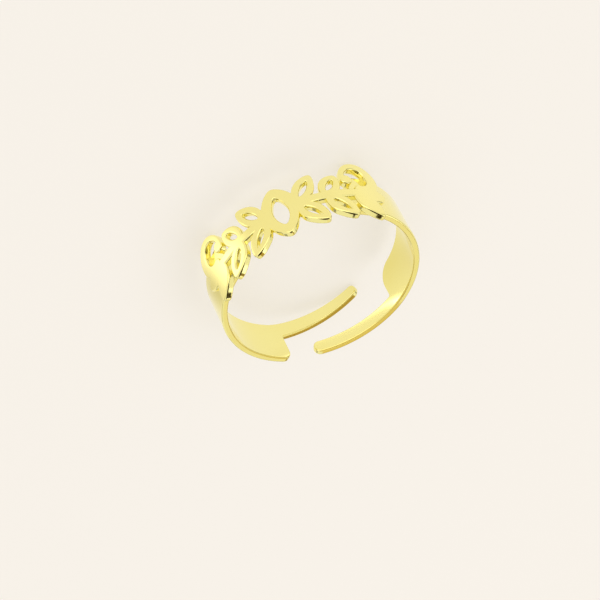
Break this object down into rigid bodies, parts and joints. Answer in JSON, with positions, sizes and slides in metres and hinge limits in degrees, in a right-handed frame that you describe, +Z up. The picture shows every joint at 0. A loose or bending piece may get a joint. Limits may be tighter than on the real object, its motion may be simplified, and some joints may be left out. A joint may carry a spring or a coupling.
{
  "type": "adjustable finger ring with a pierced ornament plate",
  "caption": "Open finger ring in polished gold: a wide plain band, a pierced plate of leaves and curls at the front, and tongues at the back that slide past each other to fit the finger.",
  "frame": {"origin": "on the finger axis, at the surface that the ring lies on", "axes": "+Z up along the finger axis, -Y out through the middle of the plate, +Y at the tongues, +X at the band that carries the low tongue"},
  "size_m": [0.0184, 0.019, 0.0065],
  "materials": {
    "polished_gold": "polished yellow gold plating on brass"
  },
  "bodies": {
    "root": {"ring": "polished_gold"}
  },
  "joints": []
}
